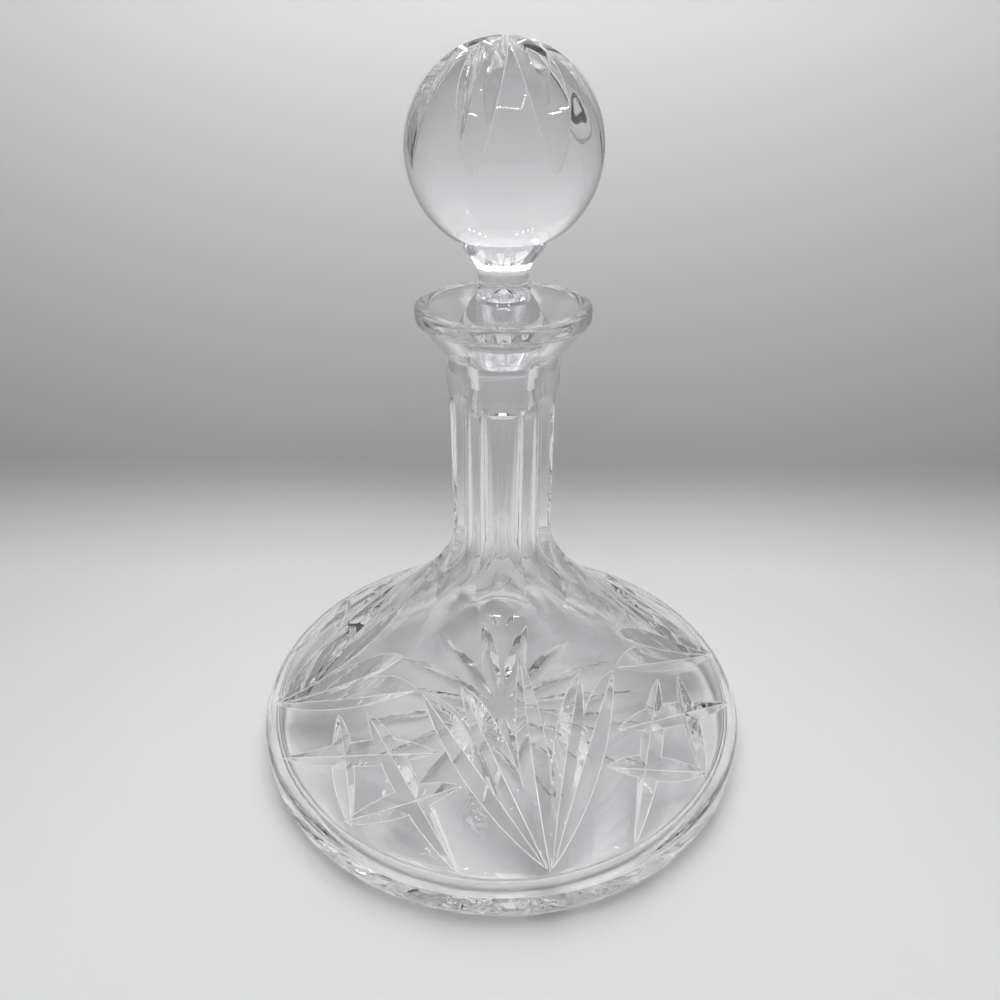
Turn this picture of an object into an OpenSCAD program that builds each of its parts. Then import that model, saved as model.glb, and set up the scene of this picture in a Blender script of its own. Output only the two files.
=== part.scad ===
// Ship's decanter: a broad-based cut glass bottle with a ball stopper ground into its neck.
// Millimetres. The base stands on z = 0, the bottle's axis is Z, and one fan of cuts faces -Y.

/* [Bottle] */
// Greatest diameter, round the foot
body_d = 200; // [190:1:212]
// Height of the upright side above the base, up to the roll of the shoulder
side_h = 16.8; // [15:0.1:20]
// Rounding between the base and the side
foot_round = 9.5; // [6:0.5:12]
// Rounding between the side and the shoulder
edge_round = 6; // [4.5:0.5:7.5]
// Slope of the shoulder where it leaves the edge, in degrees
shoulder_slope = 31; // [29:0.5:33]
// Radius of the hollow sweep of the shoulder
shoulder_sweep = 300; // [280:5:330]
// Radius of the sweep from the shoulder into the neck
neck_sweep = 40; // [36:0.5:44]
// Diameter of the neck above its flutes
neck_d = 39.6; // [38:0.1:42]
// Height of the neck's top, under the lip
neck_top = 170.5; // [160:0.5:182]
// Thickness of the glass across the shoulder
wall = 7; // [6:0.25:8]
// Thickness of the base
base_t = 10; // [8:0.5:11]
// Rounding at the outer end of the hollow
hollow_round = 4; // [2.5:0.25:4.5]
// Diameter of the neck's bore, under the ground seat
bore_d = 18.6; // [17.4:0.2:19.4]
// Radius of the sweep from the hollow into the bore
bore_sweep = 30; // [26:0.5:34]

/* [Lip] */
// Diameter of the lip
lip_d = 59.6; // [56:0.2:64]
// Diameter of the mouth, inside the lip
mouth_d = 50; // [46:0.5:52]
// Height of the lip above the neck's top
lip_h = 17; // [15.5:0.5:19]
// Height of the lip's upright edge
lip_edge = 5; // [4:0.25:6]
// Rounding of the lip's upper edge
lip_round = 1.6; // [1:0.1:1.9]
// Rounding under the lip's edge
lip_under_round = 3.2; // [2:0.2:3.6]

/* [Shoulder cuts] */
// Number of fans round the shoulder
fans = 4; // [3:1:4]
// Distance of a fan's apex from the side
apex_in = 3.5; // [3:0.25:6]
// Length of a fan's middle leaf, seen from above
fan_mid_l = 58; // [50:0.5:60]
// Length of the leaves next to it, measured along the radius
fan_next_l = 49.2; // [45:0.5:52]
// Length of a fan's outer leaves, measured along the radius
fan_outer_l = 43.9; // [40:0.5:47]
// Turn of the tips of the leaves next to the middle one
fan_next_turn = 28.5; // [25:0.5:31]
// Turn between the tips of neighbouring fans' outer leaves
fan_tip_gap = 2; // [1.5:0.25:4]
// Step by which the leaves of a fan stop short of each other at the apex
apex_step = 0.7; // [0.5:0.1:1]
// Depth of a fan's leaves
fan_depth = 3; // [2.4:0.1:3.3]
// Distance from the side to the outer ends of the long crossed cuts
cross_out_in = 3.5; // [3:0.25:6]
// Turn of those ends from the middle of the panel
cross_out_turn = 26.7; // [24:0.5:29]
// Distance from the side to the inner ends of the long crossed cuts
cross_in_in = 33.8; // [31:0.5:37]
// Turn of those ends from the middle of the panel
cross_in_turn = 15.2; // [13:0.5:17]
// Distance from the side to the corner where the short cuts meet
corner_in = 5.5; // [4.5:0.25:8]
// Turn by which each short cut passes the middle of the panel
corner_pass = 1.4; // [1:0.1:2]
// Distance from the side to the inner ends of the short cuts
short_in_in = 26.7; // [24:0.5:29]
// Turn of those ends from the middle of the panel
short_in_turn = 24.2; // [22:0.5:26]
// Depth of the crossed cuts
cross_depth = 2.4; // [1.8:0.1:2.7]
// Half the angle of the cutting wheel's edge
mitre_half = 62; // [57:1:64]

/* [Neck flutes] */
// Number of flutes round the neck
flutes = 8; // [6:1:9]
// Turn of the flutes from the fans
flute_turn = -11.5; // [-22.5:0.5:22.5]
// Depth of a flute
flute_depth = 1.6; // [1.55:0.05:1.8]
// Radius of the sweep in which a flute ends under the lip
flute_arch = 30; // [20:1:45]
// Distance of the flutes' arches below the neck's top
flute_drop = 11; // [8:0.5:20]
// Radius of the bend in which a flute ends at the neck's foot
flute_bend = 30; // [26:0.5:33]
// Distance of the start of that bend below the start of the neck's sweep
flute_bend_drop = 3.2; // [2.4:0.1:4]

/* [Base star] */
// Number of points of the star under the base
star_points = 16; // [12:1:18]
// Diameter of the star
star_d = 124; // [110:1:136]
// Radius of the plain middle of the star
star_eye = 6; // [5:0.5:10]
// Depth of the star's cuts
star_depth = 2.2; // [1.2:0.1:2.4]

/* [Stopper] */
// Diameter of the ball
ball_d = 61.4; // [57:0.2:65]
// Height of the ball's centre above the rim
ball_rise = 47; // [45:0.5:52]
// Distance of the ball's flat underside below its centre
ball_flat = 25.2; // [23:0.2:26]
// Diameter of the stem
stem_d = 16.8; // [15.6:0.2:17.2]
// Radius of the sweep from the stem out to the ball
stem_sweep = 13; // [12:0.2:14]
// Ledge of the ball's underside round that sweep
stem_ledge = 0.8; // [0.4:0.1:1.5]
// Diameter of the collar round the stem's foot
collar_d = 17.8; // [17.4:0.2:19]
// Height of the collar's underside above the rim
collar_rise = 3.6; // [3:0.2:5]
// Thickness of the collar
collar_t = 2.4; // [2:0.1:3]
// Greatest diameter of the dome in the mouth
dome_d = 31; // [28:0.5:32]
// Distance of the dome's widest edge below the rim
dome_drop = 8.5; // [7.5:0.25:9.5]
// Upright edge of the dome
dome_edge = 1; // [0.6:0.1:1.6]
// Radius of the dome's swelling side
dome_sweep = 40; // [30:1:60]
// Distance of the ground seat's top below the rim
seat_drop = 19; // [18:0.25:20]
// Diameter of the ground seat at its top
seat_d = 20.4; // [20:0.1:21]
// Length of the ground plug
plug_l = 18.4; // [16:0.2:22]
// Narrowing of the plug, in diameter, for each millimetre of its length
plug_taper = 0.22; // [0.16:0.01:0.25]
// Bevel round the plug's lower end
plug_bevel = 0.6; // [0.4:0.1:1]
// Clearance all round the plug in its seat
seat_gap = 0.1; // [0.05:0.01:0.15]
// Number of leaf cuts over the ball
ball_leaves = 8; // [6:1:9]
// Turn of the ball's cuts from the fans
ball_turn = -26.5; // [-45:0.5:45]
// Angle between the ball's top and the upper tips of its cuts
ball_leaf_top = 1.2; // [1:0.1:3]
// Angle between the ball's top and the lower tips of its cuts
ball_leaf_foot = 98; // [85:1:102]
// Depth of the ball's cuts
ball_depth = 2.6; // [2:0.1:3]
// Half the angle of the wheel that cuts the ball
ball_mitre_half = 72; // [66:1:73]

/* [Hidden] */
$fn = 96;
glass = [0.86, 0.9, 0.92, 0.45];
// How far a tool reaches past the glass
over = 10;
// Radial depth of a cutting wheel's V-shaped edge
wheel_edge = 7;
// How far a wheel's stretch runs past the ends of its leaf
wheel_run = 5;

body_r = body_d / 2;
neck_r = neck_d / 2;
bore_r = bore_d / 2;
lip_r = lip_d / 2;
mouth_r = mouth_d / 2;
ball_r = ball_d / 2;
seat_r = seat_d / 2;
stem_r = stem_d / 2;
collar_r = collar_d / 2;
dome_r = dome_d / 2;
rim_z = neck_top + lip_h;
seat_z = rim_z - seat_drop;
ball_z = rim_z + ball_rise;

// A circle that runs on into another bites this far into it, so that the two outlines cross
bite = 0.02;

// Direction square to the shoulder where it leaves the rounded edge
lean = [sin(shoulder_slope), cos(shoulder_slope)];
edge_c = [body_r - edge_round, side_h];
shoulder_c = edge_c + (edge_round + shoulder_sweep) * lean;
hollow_sweep = shoulder_sweep + wall;
// Rounded outer end of the hollow, between its floor and the shoulder's inside
hollow_z = base_t + hollow_round;
hollow_reach = sqrt(pow(hollow_sweep + hollow_round, 2) - pow(shoulder_c[1] - hollow_z, 2));
hollow_c = [shoulder_c[0] - hollow_reach, hollow_z];

function unit(v) = v / norm(v);
// Point at a distance from one place towards another
function toward(from, to, distance) = from + distance * unit(to - from);
// Centre of the sweep that leaves an upright wall at radius r and runs out into a wide sweep
function throat_c(r, sweep, wide_sweep) = let(reach = wide_sweep + 2 * bite - sweep, x = r + sweep)
    [x, shoulder_c[1] - sqrt(reach * reach - pow(shoulder_c[0] - x, 2))];

// Half-width of the seat at a distance below its top
function seat_at(drop) = seat_r - drop * plug_taper / 2;
// Length of the ground seat, down to the plain bore
seat_l = (seat_r - bore_r) * 2 / plug_taper;

// Height and fall of the shoulder at a radius
function shoulder_z(r) = shoulder_c[1] - sqrt(pow(shoulder_sweep, 2) - pow(shoulder_c[0] - r, 2));
function shoulder_fall(r) = (shoulder_c[0] - r) / (shoulder_c[1] - shoulder_z(r));
// Place at a turn from the front, a radius and a height
function place(turn, r, z) = [r * sin(turn), -r * cos(turn), z];
function on_shoulder(turn, r) = place(turn, r, shoulder_z(r));

// The lower outer part of a disc, cut off along the line from a point of its rim through its centre
module half_disc(c, r, rim) {
    along = 2 * r * unit(c - rim);
    across = [along[1], -along[0]];
    intersection() {
        translate(c) circle(r);
        polygon([rim - along, rim + along, rim + along + across, rim - along + across]);
    }
}

// Bell-shaped outline from its floor up into a throat: an outer edge of radius edge_r round edge_at,
// a wide sweep over the shoulder, and a narrower sweep into the upright throat
module bell_outline(floor_z, edge_at, edge_r, wide_sweep, throat_r, throat_sweep, top_z) {
    throat_at = throat_c(throat_r, throat_sweep, wide_sweep);
    difference() {
        union() {
            polygon([[0, floor_z], [edge_at[0], floor_z], edge_at, toward(edge_at, shoulder_c, 2 * edge_r),
                throat_at, [throat_r, throat_at[1]], [throat_r, top_z], [0, top_z]]);
            translate(edge_at) circle(edge_r);
        }
        half_disc(shoulder_c, wide_sweep + bite, toward(shoulder_c, throat_at, wide_sweep));
        translate(throat_at) circle(throat_sweep);
    }
}

// Stretch of a V-edged cutting wheel: its axis is Z, and it cuts towards -Y
module wheel(r, half_angle, reach) {
    side = wheel_edge * tan(half_angle);
    turn = asin(reach / r);
    rotate(-90 - turn)
        rotate_extrude(angle = 2 * turn, $fn = 360)
            polygon([[r, 0], [r - wheel_edge, side], [r - wheel_edge, -side]]);
}

// Wheel that cuts a leaf from p to q, to a depth below the surface point m, whose normal is n
module leaf_cut(p, q, m, n, depth, half_angle) {
    along = unit(q - p);
    up = unit(n - (n * along) * along);
    side = cross(along, up);
    mid = (p + q) / 2;
    sag = depth - (m - mid) * up;
    half_l = norm(q - p) / 2;
    r = (half_l * half_l + sag * sag) / (2 * sag);
    c = mid + up * (r - sag);
    multmatrix([
        [along[0], up[0], side[0], c[0]],
        [along[1], up[1], side[1], c[1]],
        [along[2], up[2], side[2], c[2]],
        [0, 0, 0, 1]
    ])
        wheel(r, half_angle, half_l + wheel_run);
}

// Leaf on the shoulder between two places, each a turn and a distance in from the side
module shoulder_leaf(from, to, depth) {
    p = on_shoulder(from[0], body_r - from[1]);
    q = on_shoulder(to[0], body_r - to[1]);
    mid = (p + q) / 2;
    turn = atan2(mid[0], -mid[1]);
    r = norm([mid[0], mid[1]]);
    leaf_cut(p, q, on_shoulder(turn, r), unit(place(turn, shoulder_fall(r), 1)), depth, mitre_half);
}

// Five leaves that spread from one apex near the side
module fan() {
    outer_turn = 180 / fans - fan_tip_gap / 2;
    shoulder_leaf([0, apex_in], [0, apex_in + fan_mid_l], fan_depth);
    for (s = [-1, 1]) {
        shoulder_leaf([s * apex_step / 2, apex_in + apex_step],
            [s * fan_next_turn, apex_in + fan_next_l], fan_depth);
        shoulder_leaf([s * apex_step, apex_in + 2 * apex_step],
            [s * outer_turn, apex_in + fan_outer_l], fan_depth);
    }
}

// Two long and two short cuts that cross in a lozenge between two fans
module crossed_cuts() {
    for (s = [-1, 1]) {
        shoulder_leaf([s * cross_out_turn, cross_out_in], [-s * cross_in_turn, cross_in_in], cross_depth);
        shoulder_leaf([-s * corner_pass, corner_in], [s * short_in_turn, short_in_in], cross_depth);
    }
}

// Side view of the tool that cuts a flute down the neck and out at its foot
module flute_outline() {
    floor_r = neck_r - flute_depth;
    bend_z = throat_c(neck_r, neck_sweep, shoulder_sweep)[1] - flute_bend_drop;
    arch_z = neck_top - flute_drop - sqrt(2 * flute_arch * flute_depth - pow(flute_depth, 2));
    translate([floor_r, bend_z]) square([flute_arch, arch_z - bend_z]);
    translate([floor_r + flute_arch, arch_z]) circle(flute_arch);
    translate([floor_r + flute_bend, bend_z]) circle(flute_bend);
}

module flute() {
    rotate([90, 0, 0]) linear_extrude(2 * neck_r, center = true) flute_outline();
}

// Leaf of the star under the base, along the radius towards -Y
module star_leaf() {
    p = [0, -star_eye, 0];
    q = [0, -star_d / 2, 0];
    leaf_cut(p, q, (p + q) / 2, [0, 0, -1], star_depth, mitre_half);
}

// Outline of the lip, from the neck's top to the rim
module lip_outline() {
    edge_z = rim_z - lip_edge;
    run = unit([lip_r - neck_r, edge_z - neck_top]);
    // The rounding under the edge touches the upright edge and runs into the slanted underside
    under_c = [lip_r - lip_under_round,
        edge_z + ((lip_under_round - bite) - lip_under_round * run[1]) / run[0]];
    under_touch = under_c + lip_under_round * [run[1], -run[0]];
    top_c = [lip_r - lip_round, rim_z - lip_round];
    inner_c = [mouth_r + lip_round, rim_z - lip_round];
    polygon([[0, neck_top - over], [neck_r, neck_top - over], [neck_r, neck_top], under_touch, under_c,
        [lip_r, under_c[1]], [lip_r, top_c[1]], top_c, [top_c[0], rim_z], [inner_c[0], rim_z],
        inner_c, [mouth_r, inner_c[1]], [0, inner_c[1]]]);
    translate(under_c) circle(lip_under_round);
    translate(top_c) circle(lip_round);
    translate(inner_c) circle(lip_round);
}

// Outline of the bottle's outside
module outer_outline() {
    foot_c = [body_r - foot_round, foot_round];
    polygon([[0, 0], [foot_c[0], 0], foot_c, [body_r, foot_c[1]], [body_r, side_h], [0, side_h]]);
    translate(foot_c) circle(foot_round);
    bell_outline(foot_round, edge_c, edge_round, shoulder_sweep, neck_r, neck_sweep, neck_top);
    lip_outline();
}

// Outline of the hollow, the bore, the ground seat and the mouth
module hollow_outline() {
    bell_outline(base_t, hollow_c, hollow_round, hollow_sweep, bore_r, bore_sweep, seat_z - seat_l);
    polygon([[0, seat_z - seat_l - over], [bore_r, seat_z - seat_l - over], [bore_r, seat_z - seat_l],
        [seat_r, seat_z], [mouth_r, rim_z - lip_round], [mouth_r, rim_z + over], [0, rim_z + over]]);
}

// Cuts repeated round the axis, one after another: the first child is the glass, the second the tool
module cut_round(n, k = 0) {
    if (k == n) children(0);
    else difference() {
        cut_round(n, k + 1) {
            children(0);
            children(1);
        }
        rotate(k * 360 / n) children(1);
    }
}

// Blown and cut bottle
module decanter() {
    color(glass)
        cut_round(star_points) {
            difference() {
                cut_round(flutes) {
                    difference() {
                        rotate_extrude($fn = 192) outer_outline();
                        rotate_extrude($fn = 192) hollow_outline();
                    }
                    rotate(flute_turn - 90) flute();
                }
                for (k = [0 : fans - 1]) {
                    rotate(k * 360 / fans) fan();
                    rotate((k + 0.5) * 360 / fans) crossed_cuts();
                }
            }
            star_leaf();
        }
}

// Outline of the stopper below its ball: stem, collar, dome and ground plug
module stopper_outline() {
    flat_z = ball_z - ball_flat;
    flare_r = sqrt(pow(ball_r, 2) - pow(ball_flat, 2)) - stem_ledge;
    sweep_r = stem_r + stem_sweep;
    waist_z = flat_z + stem_ledge - sqrt(pow(stem_sweep, 2) - pow(sweep_r - flare_r, 2));
    collar_z = rim_z + collar_rise;
    dome_z = rim_z - dome_drop;
    plug_z = seat_z - plug_l;
    // Centre of the dome's swelling side, which passes under the collar and to the widest edge
    dome_top = [collar_r, collar_z];
    dome_side = [dome_r, dome_z];
    chord = dome_side - dome_top;
    bow = sqrt(pow(dome_sweep, 2) - chord * chord / 4);
    dome_c = (dome_top + dome_side) / 2 + bow * unit([chord[1], -chord[0]]);
    difference() {
        polygon([[0, collar_z], [stem_r, collar_z], [stem_r, waist_z], [flare_r, waist_z],
            [flare_r, flat_z + 2 * stem_ledge], [0, flat_z + 2 * stem_ledge]]);
        translate([sweep_r, waist_z]) circle(stem_sweep);
    }
    translate([0, collar_z]) square([collar_r, collar_t]);
    intersection() {
        translate([0, dome_z - dome_edge]) square([dome_r, collar_z - dome_z + dome_edge]);
        translate(dome_c) circle(dome_sweep);
    }
    polygon([[0, dome_z - dome_edge], [dome_r, dome_z - dome_edge], [seat_at(0) - seat_gap, seat_z],
        [seat_at(plug_l - plug_bevel) - seat_gap, plug_z + plug_bevel],
        [seat_at(plug_l) - seat_gap - plug_bevel, plug_z], [0, plug_z]]);
}

// Leaf over the ball, from near its top down its side towards -Y
module ball_leaf() {
    centre = [0, 0, ball_z];
    function on_ball(a) = centre + ball_r * place(0, sin(a), cos(a));
    mid_a = (ball_leaf_top + ball_leaf_foot) / 2;
    leaf_cut(on_ball(ball_leaf_top), on_ball(ball_leaf_foot), on_ball(mid_a),
        place(0, sin(mid_a), cos(mid_a)), ball_depth, ball_mitre_half);
}

// Solid stopper, ground to fit the neck
module stopper() {
    color(glass)
        cut_round(ball_leaves) {
            union() {
                difference() {
                    translate([0, 0, ball_z]) sphere(ball_r, $fn = 192);
                    translate([0, 0, ball_z - ball_flat - ball_r]) cylinder(h = ball_r, r = ball_r);
                }
                rotate_extrude($fn = 192) stopper_outline();
            }
            rotate(ball_turn) ball_leaf();
        }
}

decanter();
stopper();
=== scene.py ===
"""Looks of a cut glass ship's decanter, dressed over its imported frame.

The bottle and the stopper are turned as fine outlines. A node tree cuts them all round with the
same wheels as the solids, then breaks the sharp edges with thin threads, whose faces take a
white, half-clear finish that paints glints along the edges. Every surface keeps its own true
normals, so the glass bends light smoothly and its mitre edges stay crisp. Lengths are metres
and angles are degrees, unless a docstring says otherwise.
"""

import logging
import math
from collections.abc import Callable, Iterable
from dataclasses import dataclass, field
from enum import Enum

import bpy
import numpy as np
from mathutils import Matrix, Vector


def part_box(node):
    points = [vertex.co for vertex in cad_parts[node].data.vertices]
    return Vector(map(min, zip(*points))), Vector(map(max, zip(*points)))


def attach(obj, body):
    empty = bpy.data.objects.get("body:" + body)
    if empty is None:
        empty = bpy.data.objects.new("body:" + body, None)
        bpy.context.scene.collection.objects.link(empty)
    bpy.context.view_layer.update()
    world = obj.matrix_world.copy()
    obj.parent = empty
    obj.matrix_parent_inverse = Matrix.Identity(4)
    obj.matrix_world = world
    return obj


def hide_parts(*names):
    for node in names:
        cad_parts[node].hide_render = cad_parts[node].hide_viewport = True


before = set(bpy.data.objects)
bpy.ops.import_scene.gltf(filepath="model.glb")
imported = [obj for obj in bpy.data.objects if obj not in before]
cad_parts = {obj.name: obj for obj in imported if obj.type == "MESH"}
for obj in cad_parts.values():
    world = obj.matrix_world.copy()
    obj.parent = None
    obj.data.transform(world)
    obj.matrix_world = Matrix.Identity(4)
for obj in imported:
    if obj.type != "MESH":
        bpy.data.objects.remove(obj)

log = logging.getLogger("decanter")

MM = 0.001
NORMAL = "true_normal"
FINISH = "finish"

Colour = tuple[float, float, float, float]
Heights = Callable[[np.ndarray], np.ndarray]
Feeds = dict[str | int, object]


class Surface(Enum):
    """How a stretch of glass is finished."""

    POLISHED = 0
    GROUND = 1
    BLOWN = 2
    # Painted glint: broken edges and cut valleys in white, half-clear glass that paints bright
    # lines along them.
    PAINTED_GLINT = 3


def unit(vector: np.ndarray) -> np.ndarray:
    """Return the vector at length one."""
    return vector / np.linalg.norm(vector)


def towards(start: np.ndarray, end: np.ndarray, distance: float) -> np.ndarray:
    """Return the point at a distance from start towards end."""
    return start + distance * unit(end - start)


def heading_of(vector: np.ndarray) -> float:
    """Return the angle of a plane vector, in degrees from the first axis."""
    return math.degrees(math.atan2(vector[1], vector[0]))


def around(turn: float, radius: float, height: float) -> np.ndarray:
    """Return the place at a turn from the front, a radius and a height."""
    angle = math.radians(turn)
    return np.array([radius * math.sin(angle), -radius * math.cos(angle), height])


def placed(name: str, data: bpy.types.ID) -> bpy.types.Object:
    """Make an object of some data, and link it to the scene."""
    made = bpy.data.objects.new(name, data)
    bpy.context.scene.collection.objects.link(made)
    return made


@dataclass
class Stretch:
    """One smooth run of an outline.

    Attributes:
        points: Radius and height of each point, in order.
        normals: Outward normal at each point.
        surface: How this run is finished.
    """

    points: np.ndarray
    normals: np.ndarray
    surface: Surface


class Outline:
    """An outline in the radius-height plane, drawn with the glass on its left."""

    ARC_STEP = 6.0
    LONGEST_STEP = 2.4 * MM
    STRAIGHT_STEP = 4 * LONGEST_STEP

    def __init__(self, start: tuple[float, float]) -> None:
        """Start at the radius and height of the first point."""
        self.pen = np.array(start, float)
        self.stretches: list[Stretch] = []

    def line(self, radius: float, height: float, surface: Surface = Surface.POLISHED) -> None:
        """Draw a straight run to a point.

        Args:
            radius: Radius of the end.
            height: Height of the end.
            surface: How the run is finished.
        """
        end = np.array([radius, height])
        steps = max(1, math.ceil(np.linalg.norm(end - self.pen) / self.STRAIGHT_STEP))
        points = self.pen + np.linspace(0, 1, steps + 1)[:, None] * (end - self.pen)
        along = unit(end - self.pen)
        normals = np.tile([along[1], -along[0]], (steps + 1, 1))
        self.stretches.append(Stretch(points, normals, surface))
        self.pen = end

    def arc(
        self,
        centre: np.ndarray,
        radius: float,
        start: float,
        end: float,
        surface: Surface = Surface.POLISHED,
    ) -> None:
        """Draw an arc, after a short join from the pen where its start lies a hair away.

        Args:
            centre: Centre of the arc.
            radius: Radius of the arc.
            start: Angle of its start.
            end: Angle of its end, past the start for a bulging run and before it for a hollow one.
            surface: How the run is finished.
        """
        sweep = math.radians(abs(end - start))
        step = min(math.radians(self.ARC_STEP), self.LONGEST_STEP / radius)
        angles = np.radians(np.linspace(start, end, max(2, math.ceil(sweep / step)) + 1))
        rays = np.stack([np.cos(angles), np.sin(angles)], axis=1)
        points = np.asarray(centre) + radius * rays
        points[0] = self.pen
        self.stretches.append(Stretch(points, rays if end > start else -rays, surface))
        self.pen = points[-1]


class MeshMaker:
    """Gathers the faces of a mesh, whose corners remember their true normals."""

    def __init__(self) -> None:
        """Start with an empty mesh."""
        self.places: list[np.ndarray] = []
        self.faces: list[tuple[int, ...]] = []
        self.normals: list[Iterable[float]] = []
        self.finishes: list[int] = []

    def face(
        self,
        corners: Iterable[int],
        normals: Iterable[Iterable[float]],
        surface: Surface = Surface.POLISHED,
    ) -> None:
        """Add a face.

        Args:
            corners: Numbers of its places.
            normals: True normal at each corner.
            surface: How the face is finished.
        """
        self.faces.append(tuple(corners))
        self.normals.extend(normals)
        self.finishes.append(surface.value)

    def make(self, name: str) -> bpy.types.Object:
        """Make the mesh as an object.

        Args:
            name: Name of the object.

        Returns:
            The new object, linked to the scene.
        """
        mesh = bpy.data.meshes.new(name)
        mesh.from_pydata(np.array(self.places).tolist(), [], self.faces)
        kept = mesh.attributes.new(NORMAL, "FLOAT_VECTOR", "CORNER")
        kept.data.foreach_set("vector", np.asarray(self.normals, np.float32).ravel())
        marks = mesh.attributes.new(FINISH, "INT", "FACE")
        marks.data.foreach_set("value", self.finishes)
        return placed(name, mesh)


class Lathe:
    """Turns an outline about the upright axis into a closed blank."""

    ON_AXIS = 1e-9

    def __init__(self, sides: int) -> None:
        """Set the number of sides of a full turn.

        Args:
            sides: Faces round the axis.
        """
        turns = np.linspace(0, math.tau, sides, endpoint=False)
        self.sides = sides
        self.rays = np.stack([np.cos(turns), np.sin(turns)], axis=1)
        self.maker = MeshMaker()

    def turn(self, name: str, outline: Outline) -> bpy.types.Object:
        """Turn an outline that starts and ends on the axis.

        Args:
            name: Name of the blank.
            outline: The outline.

        Returns:
            The blank, with its true normals.
        """
        lower = self.ring(outline.stretches[0].points[0])
        for run in outline.stretches:
            for k in range(len(run.points) - 1):
                upper = self.ring(run.points[k + 1])
                low, high = (self.swept(normal).tolist() for normal in run.normals[k : k + 2])
                self.band(list(zip(lower, low)), list(zip(upper, high)), run.surface)
                lower = upper
        return self.maker.make(name)

    def swept(self, pair: np.ndarray) -> np.ndarray:
        """Return a point or normal of the outline, turned to every side."""
        return np.column_stack([pair[0] * self.rays, np.full(self.sides, pair[1])])

    def ring(self, point: np.ndarray) -> list[int]:
        """Add a ring of places, or one place on the axis, and return their numbers."""
        places = self.maker.places
        first = len(places)
        if point[0] < self.ON_AXIS:
            places.append(np.array([0.0, 0.0, point[1]]))
            return [first] * self.sides
        places.extend(self.swept(point))
        return list(range(first, first + self.sides))

    def band(
        self,
        lower: list[tuple[int, list[float]]],
        upper: list[tuple[int, list[float]]],
        surface: Surface,
    ) -> None:
        """Add the faces between two rings, as triangles where one lies on the axis.

        Args:
            lower: Number and normal of each place of the first ring.
            upper: Number and normal of each place of the second ring.
            surface: How the band is finished.
        """
        for j in range(self.sides):
            k = (j + 1) % self.sides
            corners = [lower[j], lower[k], upper[k], upper[j]]
            if lower[j][0] == lower[k][0]:
                corners.pop(1)
            elif upper[j][0] == upper[k][0]:
                corners.pop(2)
            self.maker.face(*zip(*corners), surface)


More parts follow.
